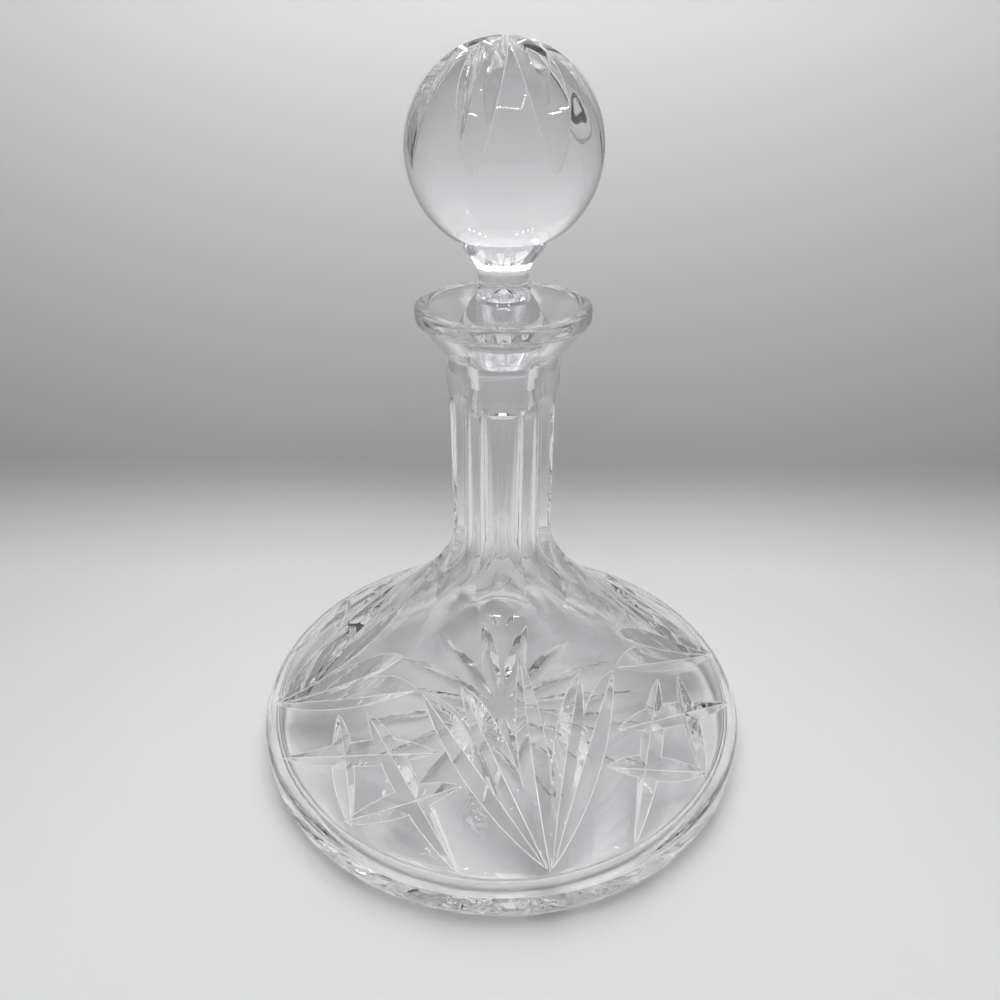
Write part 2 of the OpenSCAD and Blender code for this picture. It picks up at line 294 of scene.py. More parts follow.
@dataclass
class LeafCut:
    """A stretch of a V-edged wheel that cuts a pointed leaf into a curved surface.

    Attributes:
        start: One tip of the leaf.
        end: The other tip.
        crest: Point of the surface over the middle of the leaf.
        normal: Normal of the surface there.
        depth: Depth of the cut below the crest.
        half_angle: Half the angle of the wheel's edge.
        valley: Finish that the wheel's blunt edge leaves; on the shoulder it is the white,
            half-clear finish that paints a glint along the valley.
        blunt: Half the width of that edge.
        edge: Depth of the wheel's bevelled edge.
        run_past: Length of the stretch past each tip.
        step: Longest step between its stations.
    """

    HALVINGS = 30

    start: np.ndarray
    end: np.ndarray
    crest: np.ndarray
    normal: np.ndarray
    depth: float
    half_angle: float
    valley: Surface = Surface.POLISHED
    blunt: float = 0.18 * MM
    edge: float = 7 * MM
    run_past: float = 5 * MM
    step: float = 0.8 * MM

    def __post_init__(self) -> None:
        """Work out the wheel's place and the stations along its stretch."""
        self.along = unit(self.end - self.start)
        self.up = unit(self.normal - (self.normal @ self.along) * self.along)
        self.side = np.cross(self.along, self.up)
        middle = (self.start + self.end) / 2
        sag = self.depth - (self.crest - middle) @ self.up
        half = np.linalg.norm(self.end - self.start) / 2
        self.radius = (half * half + sag * sag) / (2 * sag)
        self.centre = middle + self.up * (self.radius - sag)
        self.slant = math.radians(self.half_angle)
        reach = math.asin((half + self.run_past) / self.radius)
        steps = math.ceil(2 * reach * self.radius / self.step)
        angles = np.linspace(-reach, reach, steps + 1)[:, None]
        self.rays = np.sin(angles) * self.along - np.cos(angles) * self.up

    def cutter(self, name: str) -> bpy.types.Object:
        """Make the wheel's stretch as a closed mesh, with normals as the cut glass has them.

        Args:
            name: Name of the cutter.

        Returns:
            The cutter.
        """
        half_width = self.edge * math.tan(self.slant)
        tip = self.radius - self.blunt / math.tan(self.slant)
        maker = MeshMaker()
        lookouts: list[tuple[np.ndarray, ...]] = []
        for ray in self.rays:
            floor, foot = self.centre + tip * ray, self.centre + (self.radius - self.edge) * ray
            maker.places += [floor + self.blunt * self.side, foot + half_width * self.side]
            maker.places += [foot - half_width * self.side, floor - self.blunt * self.side]
            lean, out = -math.sin(self.slant) * ray, math.cos(self.slant) * self.side
            lookouts.append((lean - out, ray, lean + out, -ray))
        corners = len(lookouts[0])
        last = corners * (len(self.rays) - 1)
        maker.face(range(corners), [self.along] * corners)
        for k in range(last):
            here, edge = divmod(k, corners)
            beside = corners * here + (edge + 1) % corners
            near, far = lookouts[here][edge], lookouts[here + 1][edge]
            surface = self.valley if edge == corners - 1 else Surface.POLISHED
            ahead = (k + corners, beside + corners)
            maker.face((k, *ahead, beside), (near, far, far, near), surface)
        maker.face(reversed(range(last, last + corners)), [-self.along] * corners)
        return maker.make(name)

    def border(self, side: int, above: Heights) -> np.ndarray:
        """Find where one flank of the leaf meets the surface.

        Args:
            side: 1 or -1.
            above: Height of places above the surface.

        Returns:
            The places along that border, where the leaf has some width.
        """
        deep = np.zeros((len(self.rays), 1))
        wide = np.full_like(deep, self.edge * math.tan(self.slant))
        for _ in range(self.HALVINGS):
            middle = (deep + wide) / 2
            places = self.flank(middle, side)
            inside = above(places)[:, None] < 0
            deep, wide = np.where(inside, middle, deep), np.where(inside, wide, middle)
        return self.flank(deep, side)[deep[:, 0] > 2 * self.blunt]

    def flank(self, out: np.ndarray, side: int) -> np.ndarray:
        """Return the places on a flank at distances out from the wheel's plane."""
        reach = self.radius - out / math.tan(self.slant)
        return self.centre + reach * self.rays + side * out * self.side

    def arris(self, name: str, above: Heights, radius: float) -> bpy.types.Object:
        """Make the two thin threads that take the sharpness off the leaf's borders."""
        borders = [self.border(side, above) for side in (-1, 1)]
        return ArrisTool.make(name, borders, self.side, radius)


class ArrisTool:
    """Thin threads along sharp edges, which break them as wear and acid polishing do; the faces
    they leave take a white, half-clear finish that paints glints along the edges.
    """

    SIDES = 6

    @classmethod
    def make(
        cls, name: str, lines: list[np.ndarray], across: np.ndarray, radius: float
    ) -> bpy.types.Object:
        """Make threads as a closed mesh, with normals as the broken edges have them.

        Args:
            name: Name of the tool.
            lines: Places along each edge.
            across: Direction across the edges.
            radius: Radius of the threads.

        Returns:
            The tool.
        """
        maker = MeshMaker()
        ring = range(cls.SIDES)
        turns = [math.tau * k / cls.SIDES for k in ring]
        for line in lines:
            first, last = len(maker.places), len(line) - 1
            spokes = []
            for place, step in zip(line, np.gradient(line, axis=0)):
                along = unit(step)
                side = unit(across - (across @ along) * along)
                rise = np.cross(along, side)
                spokes.append([math.cos(turn) * side + math.sin(turn) * rise for turn in turns])
                maker.places += [place + radius * spoke for spoke in spokes[-1]]
            for k, cap in ((0, reversed(ring)), (last, ring)):
                inward = [line[last // 2] - line[k]] * cls.SIDES
                maker.face([first + cls.SIDES * k + j for j in cap], inward, Surface.PAINTED_GLINT)
            for k in range(last):
                here, ahead = first + cls.SIDES * k, first + cls.SIDES * (k + 1)
                near, far = spokes[k], spokes[k + 1]
                for j in ring:
                    i = (j + 1) % cls.SIDES
                    normals = [-near[j], -near[i], -far[i], -far[j]]
                    maker.face((here + j, here + i, ahead + i, ahead + j), normals, Surface.PAINTED_GLINT)
        return maker.make(name)


class Wiring:
    """Adds the nodes of one tree, each with its properties and what feeds it."""

    def __init__(self, tree: bpy.types.NodeTree) -> None:
        """Take the tree to add to."""
        self.tree = tree

    @classmethod
    def of(cls, owner: bpy.types.Material | bpy.types.World) -> "Wiring":
        """Clear the tree of a material or world, and return its wiring."""
        owner.use_nodes = True
        owner.node_tree.nodes.clear()
        return cls(owner.node_tree)

    def socket(
        self, name: str, kind: str, way: str = "INPUT"
    ) -> bpy.types.NodeTreeInterfaceSocket:
        """Add a socket to the outside of the tree."""
        return self.tree.interface.new_socket(name, in_out=way, socket_type=f"NodeSocket{kind}")

    def node(self, kind: str, feeds: Feeds | None = None, **settings: object) -> bpy.types.Node:
        """Add a node.

        Args:
            kind: Type of the node.
            feeds: What each input takes, a value or the output of another node.
            **settings: Properties of the node.

        Returns:
            The node.
        """
        made = self.tree.nodes.new(kind)
        for name, value in settings.items():
            setattr(made, name, value)
        self.feed(made, feeds or {})
        return made

    def feed(self, node: bpy.types.Node, feeds: Feeds) -> None:
        """Give a node's inputs what they take.

        Args:
            node: The node.
            feeds: What each input takes, a value or the output of another node.
        """
        for entry, source in feeds.items():
            if isinstance(source, bpy.types.NodeSocket):
                self.tree.links.new(source, node.inputs[entry])
            else:
                node.inputs[entry].default_value = source


class CutRoundTree(Wiring):
    """Node tree that turns one cutter about the upright axis and cuts the glass at every stop."""

    def __init__(self) -> None:
        """Build the tree with its named inputs."""
        super().__init__(bpy.data.node_groups.new("cut_round", "GeometryNodeTree"))
        self.socket("Glass", "Geometry")
        self.cutter = self.socket("Cutter", "Object")
        self.count = self.socket("Count", "Int")
        self.finishes = {
            surface: self.socket(surface.name.title(), "Material") for surface in Surface
        }
        self.socket("Glass", "Geometry", "OUTPUT")
        self.wire()

    def wire(self) -> None:
        """Add the nodes that repeat the cut, and those that give each face its finish."""
        given = self.node("NodeGroupInput").outputs
        first = self.node("GeometryNodeRepeatInput")
        last = self.node("GeometryNodeRepeatOutput")
        first.pair_with_output(last)
        self.feed(first, {"Iterations": given["Count"], "Geometry": given["Glass"]})
        stop = self.node(
            "ShaderNodeMath", {0: first.outputs["Iteration"], 1: math.tau}, operation="MULTIPLY"
        )
        turn = self.node(
            "ShaderNodeMath", {0: stop.outputs[0], 1: given["Count"]}, operation="DIVIDE"
        ).outputs[0]
        cut = self.node(
            "GeometryNodeMeshBoolean",
            {"Mesh 1": first.outputs["Geometry"], "Mesh 2": self.turned(given["Cutter"], turn)},
            operation="DIFFERENCE",
            solver="MANIFOLD",
        )
        self.feed(last, {"Geometry": cut.outputs["Mesh"]})
        whole = self.node("GeometryNodeRealizeInstances", {"Geometry": last.outputs["Geometry"]})
        glass = whole.outputs["Geometry"]
        marked = self.node("GeometryNodeInputNamedAttribute", {"Name": FINISH}, data_type="INT")
        for surface in Surface:
            chosen = self.node(
                "FunctionNodeCompare",
                {"A": marked.outputs["Attribute"], "B": surface.value},
                data_type="INT",
                operation="EQUAL",
            )
            dressed = self.node(
                "GeometryNodeSetMaterial",
                {
                    "Geometry": glass,
                    "Selection": chosen.outputs[0],
                    "Material": given[surface.name.title()],
                },
            )
            glass = dressed.outputs["Geometry"]
        self.node("NodeGroupOutput", {"Glass": glass})

    def turned(
        self, cutter: bpy.types.NodeSocket, turn: bpy.types.NodeSocket
    ) -> bpy.types.NodeSocket:
        """Add the nodes that turn the cutter, with its true normals, to a stop.

        Args:
            cutter: The cutter's object.
            turn: Angle of the stop, in radians.

        Returns:
            The turned cutter.
        """
        tool = self.node("GeometryNodeObjectInfo", {"Object": cutter}, transform_space="ORIGINAL")
        euler = self.node("ShaderNodeCombineXYZ", {"Z": turn})
        moved = self.node(
            "GeometryNodeTransform",
            {"Geometry": tool.outputs["Geometry"], "Rotation": euler.outputs[0]},
        )
        kept = self.node(
            "GeometryNodeInputNamedAttribute", {"Name": NORMAL}, data_type="FLOAT_VECTOR"
        )
        swung = self.node(
            "ShaderNodeVectorRotate",
            {"Vector": kept.outputs["Attribute"], "Angle": turn},
            rotation_type="Z_AXIS",
        )
        stored = self.node(
            "GeometryNodeStoreNamedAttribute",
            {"Geometry": moved.outputs["Geometry"], "Name": NORMAL, "Value": swung.outputs[0]},
            data_type="FLOAT_VECTOR",
            domain="CORNER",
        )
        return stored.outputs["Geometry"]

    def add(
        self,
        blank: bpy.types.Object,
        cutter: bpy.types.Object,
        count: int,
        finishes: dict[Surface, bpy.types.Material],
    ) -> None:
        """Add the tree to a blank, with its inputs.

        Args:
            blank: The glass to cut.
            cutter: The tool at its first stop.
            count: Stops in a full turn.
            finishes: Material of each finish.
        """
        cuts = blank.modifiers.new(cutter.name, "NODES")
        cuts.node_group = self.tree
        cuts[self.cutter.identifier] = cutter
        cuts[self.count.identifier] = count
        for surface, socket in self.finishes.items():
            cuts[socket.identifier] = finishes[surface]


@dataclass(frozen=True)
class GlassFinish:
    """A finish of clear glass.

    Attributes:
        name: Name of the material.
        clear_tint: Colour where the glass is clearest.
        deep_tint: Colour in its faint streaks.
        least_roughness: Roughness where it is best polished.
        most_roughness: Roughness where it is most handled or most coarsely ground.
        grain: Fineness of the patches of wear, as a noise scale.
        ripple: Height of the ripples that making left.
        ripple_grain: Fineness of those ripples, as a noise scale.
        clearness: Share of the light that passes through.
        ior: How strongly it bends light.
    """

    name: str
    clear_tint: Colour
    deep_tint: Colour
    least_roughness: float
    most_roughness: float
    grain: float
    ripple: float
    ripple_grain: float
    clearness: float = 1.0
    ior: float = 1.54

    def material(self, wear: bpy.types.NodeTree) -> bpy.types.Material:
        """Build the material.

        Args:
            wear: Node group of the marks of making and handling.

        Returns:
            The material.
        """
        made = bpy.data.materials.new(self.name)
        wiring = Wiring.of(made)
        place = wiring.node("ShaderNodeTexCoord")
        marks = wiring.node(
            "ShaderNodeGroup",
            {
                "Vector": place.outputs["Object"],
                "Clear Tint": self.clear_tint,
                "Deep Tint": self.deep_tint,
                "Least Roughness": self.least_roughness,
                "Most Roughness": self.most_roughness,
                "Grain": self.grain,
                "Ripple Grain": self.ripple_grain,
            },
            node_tree=wear,
        ).outputs
        bump = wiring.node(
            "ShaderNodeBump", {"Strength": 1.0, "Distance": self.ripple, "Height": marks["Height"]}
        )
        glass = wiring.node(
            "ShaderNodeBsdfPrincipled",
            {
                "Base Color": marks["Color"],
                "Roughness": marks["Roughness"],
                "Normal": bump.outputs["Normal"],
                "IOR": self.ior,
                "Transmission Weight": self.clearness,
            },
        )
        wiring.node("ShaderNodeOutputMaterial", {"Surface": glass.outputs[0]})
        return made


class WearGroup(Wiring):
    """Node group of the faint marks that making and handling leave on glass."""

    SMEAR_DETAIL = 3.0
    SMEAR_SPAN = (0.45, 0.8)
    STREAK_SCALE = 18.0
    SOFT_DETAIL = 1.0

    def __init__(self) -> None:
        """Build the group with its named inputs and outputs."""
        super().__init__(bpy.data.node_groups.new("glass_marks", "ShaderNodeTree"))
        self.socket("Vector", "Vector")
        for name in ("Clear Tint", "Deep Tint"):
            self.socket(name, "Color")
        for name in ("Least Roughness", "Most Roughness", "Grain", "Ripple Grain"):
            self.socket(name, "Float")
        self.socket("Color", "Color", "OUTPUT")
        for name in ("Roughness", "Height"):
            self.socket(name, "Float", "OUTPUT")
        self.wire()

    def wire(self) -> None:
        """Add the nodes of the smears, the tinted streaks and the ripples."""
        given = self.node("NodeGroupInput").outputs
        noises = []
        for scale, detail in (
            (given["Grain"], self.SMEAR_DETAIL),
            (self.STREAK_SCALE, self.SOFT_DETAIL),
            (given["Ripple Grain"], self.SOFT_DETAIL),
        ):
            feeds = {"Vector": given["Vector"], "Scale": scale, "Detail": detail}
            noises.append(self.node("ShaderNodeTexNoise", feeds).outputs["Fac"])
        smears, streaks, ripples = noises
        rough = self.node(
            "ShaderNodeMapRange",
            {
                "Value": smears,
                "From Min": self.SMEAR_SPAN[0],
                "From Max": self.SMEAR_SPAN[1],
                "To Min": given["Least Roughness"],
                "To Max": given["Most Roughness"],
            },
        )
        tint = self.node(
            "ShaderNodeMix",
            {"Factor": streaks, "A": given["Clear Tint"], "B": given["Deep Tint"]},
            data_type="RGBA",
        )
        self.node(
            "NodeGroupOutput",
            {
                "Color": tint.outputs["Result"],
                "Roughness": rough.outputs["Result"],
                "Height": ripples,
            },
        )


@dataclass
class GlassPiece:
    """A piece of glass that is turned, cut all round and polished.

    Attributes:
        cut_round: Tree that repeats a cut about the axis.
        finishes: Material of each finish.
    """

    cut_round: CutRoundTree
    finishes: dict[Surface, bpy.types.Material]
    cutters: list[bpy.types.Object] = field(default_factory=list)

    def cut(self, blank: bpy.types.Object, cutter: bpy.types.Object, count: int) -> None:
        """Cut a blank with one tool at every stop of a full turn."""
        self.cut_round.add(blank, cutter, count, self.finishes)
        self.cutters.append(cutter)

    def polish(self, blank: bpy.types.Object) -> None:
        """Turn the cut blank into a plain mesh with its true normals, and clear the tools away.

        Args:
            blank: The blank with its cuts as modifiers.
        """
        seen = bpy.context.evaluated_depsgraph_get()
        mesh = bpy.data.meshes.new_from_object(
            blank.evaluated_get(seen), preserve_all_data_layers=True, depsgraph=seen
        )
        blank.modifiers.clear()
        blank.data = mesh
        for cutter in self.cutters:
            bpy.data.objects.remove(cutter)
        self.cutters.clear()
        normals = np.empty(3 * len(mesh.loops), np.float32)
        mesh.attributes[NORMAL].data.foreach_get("vector", normals)
        mesh.attributes.remove(mesh.attributes[NORMAL])
        mesh.attributes.remove(mesh.attributes[FINISH])
        used = {face.material_index for face in mesh.polygons}
        for index in reversed(range(len(mesh.materials))):
            if index not in used:
                mesh.materials.pop(index=index)
        mesh.shade_smooth()
        mesh.normals_split_custom_set(normals.reshape(-1, 3).tolist())


@dataclass
class Bottle(GlassPiece):
    """The blown and cut bottle, sized from its box in the frame.

    A pair of a turn and a length places a tip on the shoulder: its turn from the middle of its
    fan or panel, and its distance in from the side.
    """

    sides: int = 240
    foot_round: float = 9.5 * MM
    side_height: float = 16.8 * MM
    edge_round: float = 6 * MM
    shoulder_slope: float = 31.0
    shoulder_sweep: float = 300 * MM
    neck_sweep: float = 40 * MM
    neck_radius: float = 19.8 * MM
    lip_height: float = 17 * MM
    wall: float = 7 * MM
    base: float = 10 * MM
    hollow_round: float = 4 * MM
    bore_radius: float = 9.3 * MM
    bore_sweep: float = 30 * MM
    lip_radius: float = 29.8 * MM
    mouth_radius: float = 25 * MM
    lip_edge: float = 5 * MM
    lip_round: float = 1.6 * MM
    lip_under_round: float = 3.2 * MM
    seat_drop: float = 19 * MM
    seat_radius: float = 10.2 * MM
    seat_taper: float = 0.11
    fans: int = 4
    apex_in: float = 3.5 * MM
    apex_step: float = 0.7
    fan_lengths: tuple[float, float, float] = (58 * MM, 49.2 * MM, 43.9 * MM)
    fan_next_turn: float = 28.5
    fan_tip_gap: float = 2.0
    fan_depth: float = 3 * MM
    cross_out: tuple[float, float] = (26.7, 3.5 * MM)
    cross_in: tuple[float, float] = (15.2, 33.8 * MM)
    corner: tuple[float, float] = (1.4, 5.5 * MM)
    short_in: tuple[float, float] = (24.2, 26.7 * MM)
    cross_depth: float = 2.4 * MM
    mitre_half: float = 62.0
    arris_radius: float = 0.22 * MM
    flutes: int = 8
    flute_turn: float = -11.5
    flute_depth: float = 1.6 * MM
    flute_arch: float = 30 * MM
    flute_arch_start: int = 156
    flute_drop: float = 11 * MM
    flute_bend: float = 30 * MM
    flute_bend_end: int = 255
    flute_bend_drop: float = 3.2 * MM
    flute_back: float = 10 * MM
    star_points: int = 16
    star_radius: float = 62 * MM
    star_eye: float = 6 * MM
    star_depth: float = 2.2 * MM

    def __post_init__(self) -> None:
        """Take the main sizes from the frame and work out the arcs' centres."""
        low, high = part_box("decanter")
        self.body_radius = (high.x - low.x) / 2
        self.rim = high.z
        self.neck_top = self.rim - self.lip_height
        self.seat_top = self.rim - self.seat_drop
        slope = math.radians(self.shoulder_slope)
        lean = np.array([math.sin(slope), math.cos(slope)])
        self.edge_centre = np.array([self.body_radius - self.edge_round, self.side_height])
        self.shoulder_centre = self.edge_centre + (self.edge_round + self.shoulder_sweep) * lean
        self.throat = self.throat_centre(self.neck_radius, self.neck_sweep, self.shoulder_sweep)

    def throat_centre(self, radius: float, sweep: float, wide_sweep: float) -> np.ndarray:
        """Return the centre of the sweep from an upright wall into the wide sweep of the shoulder.

        Args:
            radius: Radius of the upright wall.
            sweep: Radius of the sweep.
            wide_sweep: Radius of the wide sweep.

        Returns:
            The centre, as radius and height.
        """
        out = radius + sweep
        drop = math.sqrt((wide_sweep - sweep) ** 2 - (self.shoulder_centre[0] - out) ** 2)
        return np.array([out, self.shoulder_centre[1] - drop])

    def outline(self) -> Outline:
        """Draw the bottle's outline, up the outside and down through the hollow."""
        run = Outline((0.0, 0.0))
        foot = np.array([self.body_radius - self.foot_round, self.foot_round])
        run.line(foot[0], 0.0)
        run.arc(foot, self.foot_round, -90, 0)
        run.line(self.body_radius, self.side_height)
        crest = 90 - self.shoulder_slope
        run.arc(self.edge_centre, self.edge_round, 0, crest)
        bend = heading_of(self.throat - self.shoulder_centre) % 360
        run.arc(self.shoulder_centre, self.shoulder_sweep, crest + 180, bend)
        run.arc(self.throat, self.neck_sweep, bend, 180)
        run.line(self.neck_radius, self.neck_top)
        self.draw_lip(run)
        self.draw_hollow(run)
        return run

    def draw_lip(self, run: Outline) -> None:
        """Draw the lip, from the neck's top over the rim to the ground seat."""
        edge_low = self.rim - self.lip_edge
        along = unit(np.array([self.lip_radius - self.neck_radius, edge_low - self.neck_top]))
        rise = self.lip_under_round * (1 - along[1]) / along[0]
        under = np.array([self.lip_radius - self.lip_under_round, edge_low + rise])
        touch = under + self.lip_under_round * np.array([along[1], -along[0]])
        run.line(*touch)
        run.arc(under, self.lip_under_round, heading_of(touch - under), 0)
        top = self.rim - self.lip_round
        run.line(self.lip_radius, top)
        run.arc(np.array([self.lip_radius - self.lip_round, top]), self.lip_round, 0, 90)
        run.line(self.mouth_radius + self.lip_round, self.rim)
        run.arc(np.array([self.mouth_radius + self.lip_round, top]), self.lip_round, 90, 180)
        run.line(self.seat_radius, self.seat_top)

    def draw_hollow(self, run: Outline) -> None:
        """Draw the seat, the bore and the hollow, down to the axis."""
        seat_length = (self.seat_radius - self.bore_radius) / self.seat_taper
        run.line(self.bore_radius, self.seat_top - seat_length, Surface.GROUND)
        wide = self.shoulder_sweep + self.wall
        throat = self.throat_centre(self.bore_radius, self.bore_sweep, wide)
        bend = heading_of(throat - self.shoulder_centre) % 360
        run.line(self.bore_radius, throat[1], Surface.BLOWN)
        run.arc(throat, self.bore_sweep, 180, bend, Surface.BLOWN)
        height = self.base + self.hollow_round
        rise = self.shoulder_centre[1] - height
        out = self.shoulder_centre[0] - math.sqrt((wide + self.hollow_round) ** 2 - rise * rise)
        end = np.array([out, height])
        turn = heading_of(end - self.shoulder_centre) % 360
        run.arc(self.shoulder_centre, wide, bend, turn, Surface.BLOWN)
        run.arc(end, self.hollow_round, turn - 180, -90, Surface.BLOWN)
        run.line(0.0, self.base, Surface.BLOWN)

    def on_shoulder(self, turn: float, radius: float) -> np.ndarray:
        """Return the shoulder's point at a turn and a radius."""
        out = self.shoulder_centre[0] - radius
        drop = math.sqrt(self.shoulder_sweep**2 - out * out)
        return around(turn, radius, self.shoulder_centre[1] - drop)

    def above_shoulder(self, places: np.ndarray) -> np.ndarray:
        """Return the heights of places above the shoulder's sweep."""
        out = np.hypot(places[:, 0], places[:, 1]) - self.shoulder_centre[0]
        return self.shoulder_sweep - np.hypot(out, places[:, 2] - self.shoulder_centre[1])

    def shoulder_leaf(
        self, start: tuple[float, float], end: tuple[float, float], depth: float
    ) -> LeafCut:
        """Place a leaf on the shoulder.

        Args:
            start: Turn of one tip, and its distance in from the side.
            end: Turn and distance of the other tip.
            depth: Depth of the leaf.

        Returns:
            The cut.
        """
        tips = [self.on_shoulder(turn, self.body_radius - inset) for turn, inset in (start, end)]
        middle = (tips[0] + tips[1]) / 2
        turn = math.degrees(math.atan2(middle[0], -middle[1]))
        crest = self.on_shoulder(turn, math.hypot(middle[0], middle[1]))
        hub = around(turn, self.shoulder_centre[0], self.shoulder_centre[1])
        normal = unit(hub - crest)
        # The leaf's valley takes the white, half-clear finish that paints a glint along it.
        return LeafCut(*tips, crest, normal, depth, self.mitre_half, valley=Surface.PAINTED_GLINT)

    def fan(self) -> list[LeafCut]:
        """Return the five leaves of a fan."""
        middle, following, outer = (self.apex_in + length for length in self.fan_lengths)
        step = self.apex_step
        outer_turn = 180 / self.fans - self.fan_tip_gap / 2
        leaves = [self.shoulder_leaf((0, self.apex_in), (0, middle), self.fan_depth)]
        for s in (-1, 1):
            near = (s * step / 2, self.apex_in + step * MM)
            far = (s * step, self.apex_in + 2 * step * MM)
            for start, end in (
                (near, (s * self.fan_next_turn, following)),
                (far, (s * outer_turn, outer)),
            ):
                leaves.append(self.shoulder_leaf(start, end, self.fan_depth))
        return leaves

    def crossed_cuts(self) -> list[LeafCut]:
        """Return the two long and two short cuts of the panel beside the front fan."""
        middle = 180 / self.fans
        cuts = []
        for s in (-1, 1):
            long_out = (middle + s * self.cross_out[0], self.cross_out[1])
            long_in = (middle - s * self.cross_in[0], self.cross_in[1])
            short_out = (middle - s * self.corner[0], self.corner[1])
            short_in = (middle + s * self.short_in[0], self.short_in[1])
            cuts.append(self.shoulder_leaf(long_out, long_in, self.cross_depth))
            cuts.append(self.shoulder_leaf(short_out, short_in, self.cross_depth))
        return cuts

    def star_leaf(self) -> LeafCut:
        """Return the leaf of the star that points to the front."""
        inner = np.array([0.0, -self.star_eye, 0.0])
        outer = np.array([0.0, -self.star_radius, 0.0])
        down = np.array([0.0, 0.0, -1.0])
        return LeafCut(inner, outer, (inner + outer) / 2, down, self.star_depth, self.mitre_half)

    def flute_run(self) -> list[tuple[np.ndarray, np.ndarray]]:
        """Return the points and normals of a flute's floor, from its arch down and out."""
        floor = self.neck_radius - self.flute_depth
        arch_rise = math.sqrt(2 * self.flute_arch * self.flute_depth - self.flute_depth**2)
        arch_height = self.neck_top - self.flute_drop - arch_rise
        run = []
        for radius, height, start, end in (
            (self.flute_arch, arch_height, self.flute_arch_start, 180),
            (self.flute_bend, self.throat[1] - self.flute_bend_drop, 180, self.flute_bend_end),
        ):
            for angle in np.radians(np.arange(start, end + 1)):
                ray = np.array([math.cos(angle), math.sin(angle)])
                run.append((np.array([floor + radius, height]) + radius * ray, -ray))
        return run

    def flute_ridge(self) -> np.ndarray:
        """Return the places along the ridge between two flutes, where it lies within the neck."""
        half = 180 / self.flutes
        line = []
        for (radius, height), _ in self.flute_run():
            radius /= math.cos(math.radians(half))
            away = np.array([radius, height]) - self.throat
            low = height < self.throat[1]
            flared = low and math.hypot(*away) > self.neck_sweep
            if flared or not low and radius < self.neck_radius:
                line.append(around(self.flute_turn + half, radius, height))
        return np.array(line)

    def flute(self, name: str) -> bpy.types.Object:
        """Make the tool that cuts one flute down the neck and out along the shoulder.

        Args:
            name: Name of the tool.

        Returns:
            The tool.
        """
        run = self.flute_run()
        out = around(self.flute_turn, 1.0, 0.0)
        side = around(self.flute_turn + 90, 1.0, 0.0)
        up = np.array([0.0, 0.0, 1.0])
        half = self.neck_radius
        back = np.array([run[-1][0][0] + self.flute_back, run[0][0][1]])
        section = [point for point, _ in run] + [back]
        looks = [normal for _, normal in run] + [np.array([1.0, 0.0])]
        maker = MeshMaker()
        maker.places = [p[0] * out + p[1] * up + s * half * side for p in section for s in (-1, 1)]
        count = len(section)
        for k in range(count):
            j = (k + 1) % count
            near, far = (looks[i][0] * out + looks[i][1] * up for i in (k, j))
            maker.face((2 * k, 2 * k + 1, 2 * j + 1, 2 * j), (near, near, far, far))
        maker.face(range(0, 2 * count, 2), [side] * count)
        maker.face(range(2 * count - 1, 0, -2), [-side] * count)
        return maker.make(name)

    def build(self) -> bpy.types.Object:
        """Turn, cut and polish the bottle.

        Returns:
            The finished piece, in place of the bottle's solid.
        """
        blank = Lathe(self.sides).turn("cut_bottle", self.outline())
        self.cut(blank, self.flute("neck_flute"), self.flutes)
        leaves = self.fan() + self.crossed_cuts()
        for number, leaf in enumerate(leaves):
            self.cut(blank, leaf.cutter(f"shoulder_leaf_{number}"), self.fans)
        # The threads leave faces in the white, half-clear finish that paints glints along the
        # leaves' borders.
        for number, leaf in enumerate(leaves):
            threads = leaf.arris(f"leaf_arris_{number}", self.above_shoulder, self.arris_radius)
            self.cut(blank, threads, self.fans)
        across = around(self.flute_turn + 180 / self.flutes + 90, 1.0, 0.0)
        ridge = ArrisTool.make("flute_arris", [self.flute_ridge()], across, self.arris_radius)
        self.cut(blank, ridge, self.flutes)
        self.cut(blank, self.star_leaf().cutter("star_leaf"), self.star_points)
        self.polish(blank)
        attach(blank, "bottle")
        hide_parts("decanter")
        return blank


